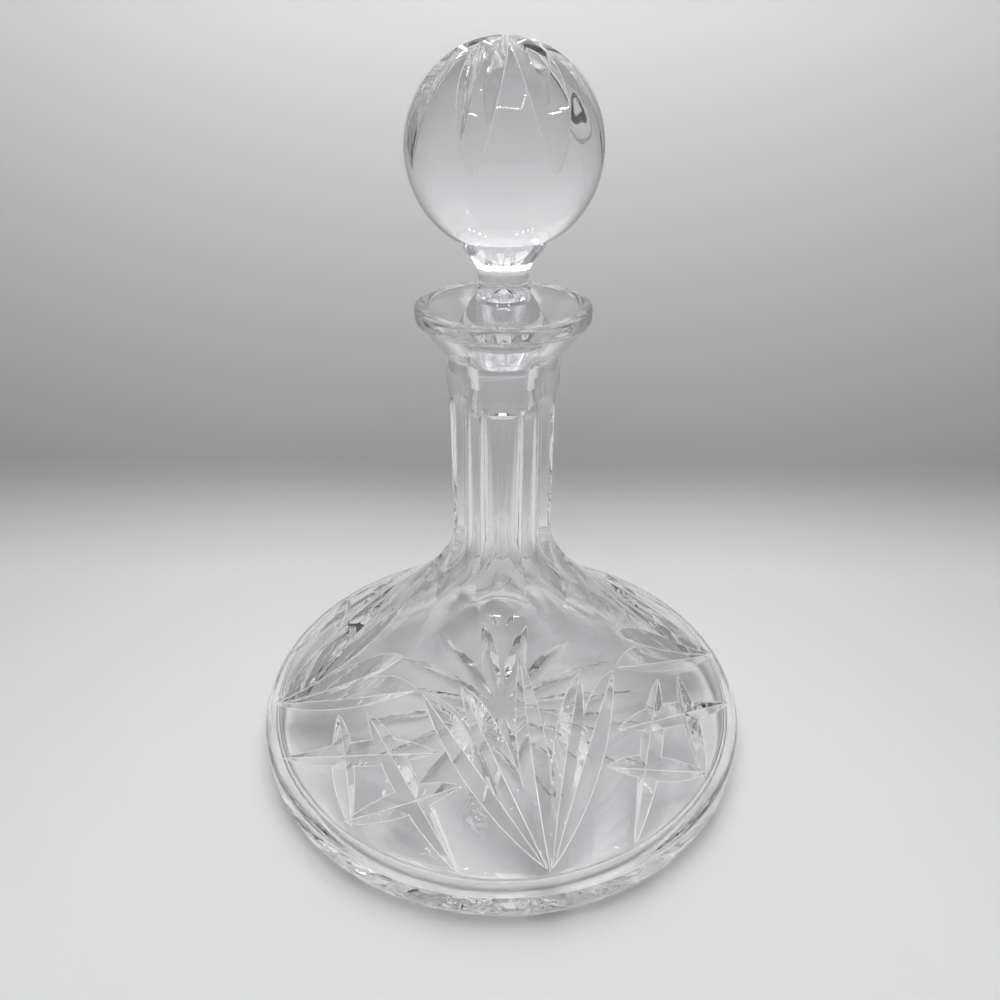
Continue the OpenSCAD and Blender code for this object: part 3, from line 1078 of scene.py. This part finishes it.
@dataclass
class Stopper(GlassPiece):
    """The solid ball stopper, sized from its box in the frame."""

    sides: int = 192
    ball_radius: float = 30.7 * MM
    ball_flat: float = 25.2 * MM
    stem_radius: float = 8.4 * MM
    flare_radius: float = 14.9 * MM
    flare_sweep: float = 8 * MM
    flare_lean: float = 45.0
    flare_top_lean: float = 15.0
    collar_radius: float = 8.9 * MM
    collar_rise: float = 3.6 * MM
    collar_thickness: float = 2.4 * MM
    dome_radius: float = 15.5 * MM
    dome_drop: float = 8.5 * MM
    dome_edge: float = 1 * MM
    dome_sweep: float = 40 * MM
    plug_length: float = 18.4 * MM
    plug_bevel: float = 0.6 * MM
    seat_gap: float = 0.1 * MM
    leaves: int = 8
    leaf_turn: float = -26.5
    leaf_top: float = 1.2
    leaf_foot: float = 98.0
    leaf_depth: float = 2.6 * MM
    leaf_half: float = 72.0
    arris_radius: float = 0.2 * MM

    def outline(self, bottle: Bottle) -> Outline:
        """Draw the stopper's outline, from the end of its plug up to the top of its ball.

        Args:
            bottle: The bottle that it is ground into.

        Returns:
            The outline.
        """
        low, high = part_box("stopper")
        self.ball_height = high.z - self.ball_radius
        plug_top = bottle.seat_radius - self.seat_gap
        plug_end = plug_top - self.plug_length * bottle.seat_taper
        run = Outline((0.0, low.z))
        run.line(plug_end - self.plug_bevel, low.z)
        bevel_radius = plug_end + self.plug_bevel * bottle.seat_taper
        run.line(bevel_radius, low.z + self.plug_bevel, Surface.GROUND)
        run.line(plug_top, bottle.seat_top, Surface.GROUND)
        dome_low = bottle.rim - self.dome_drop
        collar_low = bottle.rim + self.collar_rise
        run.line(self.dome_radius, dome_low - self.dome_edge)
        run.line(self.dome_radius, dome_low)
        foot = np.array([self.dome_radius, dome_low])
        crown = np.array([self.collar_radius, collar_low])
        chord = crown - foot
        bow = math.sqrt(self.dome_sweep**2 - chord @ chord / 4)
        centre = (foot + crown) / 2 + bow * unit(np.array([-chord[1], chord[0]]))
        run.arc(centre, self.dome_sweep, heading_of(foot - centre), heading_of(crown - centre))
        run.line(self.collar_radius, collar_low + self.collar_thickness)
        run.line(self.stem_radius, collar_low + self.collar_thickness)
        self.draw_stem_and_ball(run)
        return run

    def draw_stem_and_ball(self, run: Outline) -> None:
        """Draw the stem, its flare and the ball."""
        flat = self.ball_height - self.ball_flat
        rim = math.sqrt(self.ball_radius**2 - self.ball_flat**2)
        lean, top = math.radians(self.flare_lean), math.radians(self.flare_top_lean)
        swept = self.stem_radius + self.flare_sweep * (1 - math.cos(lean))
        bulge = (self.flare_radius - swept) / (math.cos(top) - math.cos(lean))
        waist = flat - self.flare_sweep * math.sin(lean) - bulge * (math.sin(lean) - math.sin(top))
        run.line(self.stem_radius, waist)
        hollow = np.array([self.stem_radius + self.flare_sweep, waist])
        run.arc(hollow, self.flare_sweep, 180, 180 - self.flare_lean)
        swell = np.array([self.flare_radius - bulge * math.cos(top), flat + bulge * math.sin(top)])
        run.arc(swell, bulge, -self.flare_lean, -self.flare_top_lean)
        run.line(rim, flat)
        start = -math.degrees(math.asin(self.ball_flat / self.ball_radius))
        run.arc(np.array([0.0, self.ball_height]), self.ball_radius, start, 90)

    def ball_leaf(self) -> LeafCut:
        """Return the first leaf over the ball."""
        centre = np.array([0.0, 0.0, self.ball_height])
        middle = (self.leaf_top + self.leaf_foot) / 2
        rays = []
        for angle in (self.leaf_top, self.leaf_foot, middle):
            polar = math.radians(angle)
            rays.append(around(self.leaf_turn, math.sin(polar), math.cos(polar)))
        top, foot, crest = (centre + self.ball_radius * ray for ray in rays)
        return LeafCut(top, foot, crest, rays[2], self.leaf_depth, self.leaf_half)

    def above_ball(self, places: np.ndarray) -> np.ndarray:
        """Return the heights of places above the ball."""
        return np.linalg.norm(places - (0.0, 0.0, self.ball_height), axis=1) - self.ball_radius

    def build(self, bottle: Bottle) -> bpy.types.Object:
        """Turn, cut and polish the stopper.

        Args:
            bottle: The bottle that it is ground into.

        Returns:
            The finished piece, in place of the stopper's solid.
        """
        blank = Lathe(self.sides).turn("cut_stopper", self.outline(bottle))
        leaf = self.ball_leaf()
        self.cut(blank, leaf.cutter("ball_leaf"), self.leaves)
        # The threads leave faces in the white, half-clear finish that paints glints along the leaf
        # borders.
        threads = leaf.arris("ball_arris", self.above_ball, self.arris_radius)
        self.cut(blank, threads, self.leaves)
        self.polish(blank)
        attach(blank, "stopper")
        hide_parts("stopper")
        return blank


@dataclass
class Studio:
    """A light tent: a pale sheet that sweeps up behind the object, and lamps round its top.

    Attributes:
        heading: Turn of the tent about the upright axis, from +Y towards +X.
        floor_rows: Places of the floor's rows before its bend.
        top_span: Heights of the sky over which the sides brighten to the top.
        front_span: Depths of the sky over which the dim front brightens to the sides.
    """

    heading: float
    sheet_start: float = 0.105
    floor_rows: tuple[float, float, float] = (-1.6, -0.6, -0.2)
    sheet_bend: float = 0.05
    bend_points: int = 17
    sheet_drop: float = 0.0005
    sheet_lean: float = 12.0
    sheet_half_width: float = 1.6
    sheet_height: float = 0.64
    # Greys of the cloth's ramp; its dip at the foot of the wall is painted shade.
    floor_grey: float = 0.76
    bend_shade_grey: float = 0.50
    high_grey: float = 0.86
    fade_height: float = 0.27
    lamp_height: float = 0.66
    ring_centre: tuple[float, float] = (0.0, -0.07)
    ring_size: tuple[float, float] = (0.34, 0.64)
    lamp_spacing: float = 0.034
    lamp_size: float = 0.014
    ring_watts: float = 1.2
    panel_size: tuple[float, float] = (0.28, 0.50)
    panel_watts: float = 2.1
    panel_rise: float = 0.02
    side_level: float = 0.34
    top_level: float = 0.40
    front_level: float = 0.03
    top_span: tuple[float, float] = (0.2, 0.8)
    front_span: tuple[float, float] = (-0.75, -0.45)
    wall_tint: Colour = (0.97, 0.985, 1.0, 1.0)

    def turned(self, x: float, y: float, z: float) -> Vector:
        """Return a place in the tent, turned with it."""
        return Matrix.Rotation(math.radians(-self.heading), 4, "Z") @ Vector((x, y, z))

    def build(self) -> None:
        """Put up the sheet, the lamps and the surrounding light."""
        self.hang_sheet()
        self.ring_of_lamps()
        self.soft_panel()
        self.world()

    def hang_sheet(self) -> None:
        """Make the floor and backdrop in one sheet, seen only from its front."""
        section = [(row, 0.0) for row in self.floor_rows]
        for angle in np.radians(np.linspace(-90, -self.sheet_lean, self.bend_points)):
            out, up = self.sheet_bend * math.cos(angle), self.sheet_bend * (1 + math.sin(angle))
            section.append((self.sheet_start + out, up))
        rise = self.sheet_height - section[-1][1]
        back = section[-1][0] + rise * math.tan(math.radians(self.sheet_lean))
        section.append((back, self.sheet_height))
        low, wide = self.sheet_drop, self.sheet_half_width
        rows = [[self.turned(s * wide, y, z - low)[:] for s in (-1, 1)] for y, z in section]
        faces = [(2 * k, 2 * k + 1, 2 * k + 3, 2 * k + 2) for k in range(len(rows) - 1)]
        mesh = bpy.data.meshes.new("tent_sheet")
        mesh.from_pydata([place for row in rows for place in row], [], faces)
        mesh.shade_smooth()
        mesh.materials.append(self.sheet_material())
        sheet = placed("tent_sheet", mesh)

    def sheet_material(self) -> bpy.types.Material:
        """Build the sheet's pale cloth, with shade painted low on the wall just above its bend,
        lightening up the wall, and open from behind.
        """
        made = bpy.data.materials.new("tent_cloth")
        wiring = Wiring.of(made)
        place = wiring.node("ShaderNodeTexCoord")
        split = wiring.node("ShaderNodeSeparateXYZ", {0: place.outputs["Object"]})
        share = wiring.node(
            "ShaderNodeMath", {0: split.outputs["Z"], 1: self.fade_height}, operation="DIVIDE"
        )
        # Painted shade: the cloth greys from the floor to the foot of the wall and lightens again
        # up to the fade height.
        shade_ramp = wiring.node("ShaderNodeValToRGB", {"Fac": share.outputs[0]})
        stops = shade_ramp.color_ramp.elements
        stops.new(self.sheet_bend / self.fade_height)
        for stop, grey in zip(stops, (self.floor_grey, self.bend_shade_grey, self.high_grey)):
            stop.color = (grey, grey, grey, 1.0)
        cloth = wiring.node("ShaderNodeBsdfDiffuse", {"Color": shade_ramp.outputs["Color"]})
        behind = wiring.node("ShaderNodeBsdfTransparent")
        side = wiring.node("ShaderNodeNewGeometry")
        feeds = {0: side.outputs["Backfacing"], 1: cloth.outputs[0], 2: behind.outputs[0]}
        mix = wiring.node("ShaderNodeMixShader", feeds)
        wiring.node("ShaderNodeOutputMaterial", {"Surface": mix.outputs[0]})
        return made

    def ring_of_lamps(self) -> None:
        """Hang a rectangle of small lamps over the object."""
        lamp = bpy.data.lights.new("ring_lamp", "AREA")
        lamp.shape = "DISK"
        lamp.size = self.lamp_size
        width, depth = self.ring_size
        across = round(width / self.lamp_spacing)
        along = round(depth / self.lamp_spacing)
        spots = []
        for s in (-1, 1):
            spots += [(width * (k / across - 0.5), s * depth / 2) for k in range(across + 1)]
        for s in (-1, 1):
            spots += [(s * width / 2, depth * (k / along - 0.5)) for k in range(1, along)]
        lamp.energy = self.ring_watts / len(spots)
        middle, front = self.ring_centre
        for number, (x, y) in enumerate(spots):
            spot = placed(f"ring_lamp_{number}", lamp)
            spot.location = self.turned(middle + x, front + y, self.lamp_height)

    def soft_panel(self) -> None:
        """Hang the soft panel of light inside the ring."""
        panel = bpy.data.lights.new("soft_panel", "AREA")
        panel.shape = "RECTANGLE"
        panel.size, panel.size_y = self.panel_size
        panel.energy = self.panel_watts
        made = placed("soft_panel", panel)
        made.location = self.turned(*self.ring_centre, self.lamp_height + self.panel_rise)
        made.rotation_euler.z = math.radians(-self.heading)
        made.visible_glossy = False

    def world(self) -> None:
        """Surround the tent with a plain soft light, dim towards its open front."""
        world = bpy.data.worlds.new("tent_walls")
        bpy.context.scene.world = world
        wiring = Wiring.of(world)
        place = wiring.node("ShaderNodeTexCoord")
        turn = wiring.node(
            "ShaderNodeMapping",
            {
                "Vector": place.outputs["Generated"],
                "Rotation": (0.0, 0.0, math.radians(self.heading)),
            },
        )
        split = wiring.node("ShaderNodeSeparateXYZ", {"Vector": turn.outputs["Vector"]}).outputs
        dim = self.front_level / self.side_level
        levels = []
        for value, (begin, end), (low, high) in (
            (split["Z"], self.top_span, (self.side_level, self.top_level)),
            (split["Y"], self.front_span, (dim, 1.0)),
        ):
            spans = {"From Min": begin, "From Max": end, "To Min": low, "To Max": high}
            span = wiring.node("ShaderNodeMapRange", {"Value": value, **spans})
            levels.append(span.outputs["Result"])
        level = wiring.node("ShaderNodeMath", dict(enumerate(levels)), operation="MULTIPLY")
        sky = wiring.node(
            "ShaderNodeBackground", {"Color": self.wall_tint, "Strength": level.outputs[0]}
        )
        wiring.node("ShaderNodeOutputWorld", {"Surface": sky.outputs[0]})


@dataclass
class Viewpoint:
    """The camera, where the photograph was taken from, with its lens and sensor in millimetres."""

    lens: float = 29.39
    sensor: float = 36.0
    near: float = 0.01
    distance: float = 0.26941
    height: float = 0.26535
    turn: float = -9.93
    pitch: float = 29.746
    heading: float = 9.726
    roll: float = 0.162

    def build(self) -> None:
        """Make the camera and set it as the scene's own."""
        data = bpy.data.cameras.new("viewpoint")
        data.lens = self.lens
        data.sensor_width = self.sensor
        data.clip_start = self.near
        camera = placed("viewpoint", data)
        place = around(self.turn, self.distance, self.height)
        aim = (
            Matrix.Rotation(math.radians(-self.heading), 4, "Z")
            @ Matrix.Rotation(math.radians(90 - self.pitch), 4, "X")
            @ Matrix.Rotation(math.radians(self.roll), 4, "Z")
        )
        camera.matrix_world = Matrix.Translation(place.tolist()) @ aim
        bpy.context.scene.camera = camera


def glass_materials(
    piece: str,
    clear: Colour,
    deep: Colour,
    painted_glint_clearness: float,
    wear: bpy.types.NodeTree,
) -> dict[Surface, bpy.types.Material]:
    """Make the material of each finish for one piece of glass.

    Args:
        piece: Name of the piece.
        clear: Its tint where it is clearest.
        deep: Its tint in the faint streaks.
        painted_glint_clearness: Share of the light that passes through its broken edges, whose
            white, half-clear finish paints glints along them.
        wear: Node group of the marks of making and handling.

    Returns:
        The material of each finish.
    """
    # White tint of the broken edges, which with their lowered clearness paints glints along them.
    glint_white = (1.0, 1.0, 1.0, 1.0)
    glossy = {"least_roughness": 0.0, "most_roughness": 0.02, "grain": 22.0}
    fine = {"grain": 160.0, "ripple": 0.02 * MM, "ripple_grain": 300.0}
    finishes = {
        Surface.POLISHED: GlassFinish(
            f"{piece}_polished", clear, deep, ripple=0.15 * MM, ripple_grain=70.0, **glossy
        ),
        Surface.GROUND: GlassFinish(
            f"{piece}_ground", clear, deep, least_roughness=0.02, most_roughness=0.07, **fine
        ),
        Surface.BLOWN: GlassFinish(
            f"{piece}_blown", clear, deep, ripple=0.07 * MM, ripple_grain=200.0, **glossy
        ),
        Surface.PAINTED_GLINT: GlassFinish(
            f"{piece}_arris",
            glint_white,
            clear,
            least_roughness=0.1,
            most_roughness=0.3,
            clearness=painted_glint_clearness,
            **fine,
        ),
    }
    return {surface: finish.material(wear) for surface, finish in finishes.items()}


def set_light_paths() -> None:
    """Let light pass through the many faces of the glass, and keep colours as they are written."""
    scene = bpy.context.scene
    scene.view_settings.view_transform = "Standard"
    scene.cycles.max_bounces = 24
    scene.cycles.glossy_bounces = 16
    scene.cycles.transmission_bounces = 24
    scene.cycles.blur_glossy = 0.0


def main() -> None:
    """Build the decanter and its setting."""
    logging.basicConfig(level=logging.INFO, format="%(name)s: %(message)s")
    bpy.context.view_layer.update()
    cut_round = CutRoundTree()
    wear = WearGroup().tree
    clear, greyer = (0.99, 0.99, 0.99, 1.0), (0.975, 0.975, 0.98, 1.0)
    # The broken edges pass only part of the light and are white, which paints glints along them.
    bottle_glass = glass_materials("bottle", clear, greyer, painted_glint_clearness=0.35, wear=wear)
    bottle = Bottle(cut_round, bottle_glass)
    solid, denser = (0.915, 0.91, 0.925, 1.0), (0.87, 0.865, 0.885, 1.0)
    stopper_glass = glass_materials("stopper", solid, denser, painted_glint_clearness=0.75, wear=wear)
    stopper = Stopper(cut_round, stopper_glass)
    for piece in (bottle.build(), stopper.build(bottle)):
        log.info("%s: %d faces", piece.name, len(piece.data.polygons))
    view = Viewpoint()
    view.build()
    Studio(heading=-view.turn).build()
    set_light_paths()


if __name__ == "__main__":
    main()
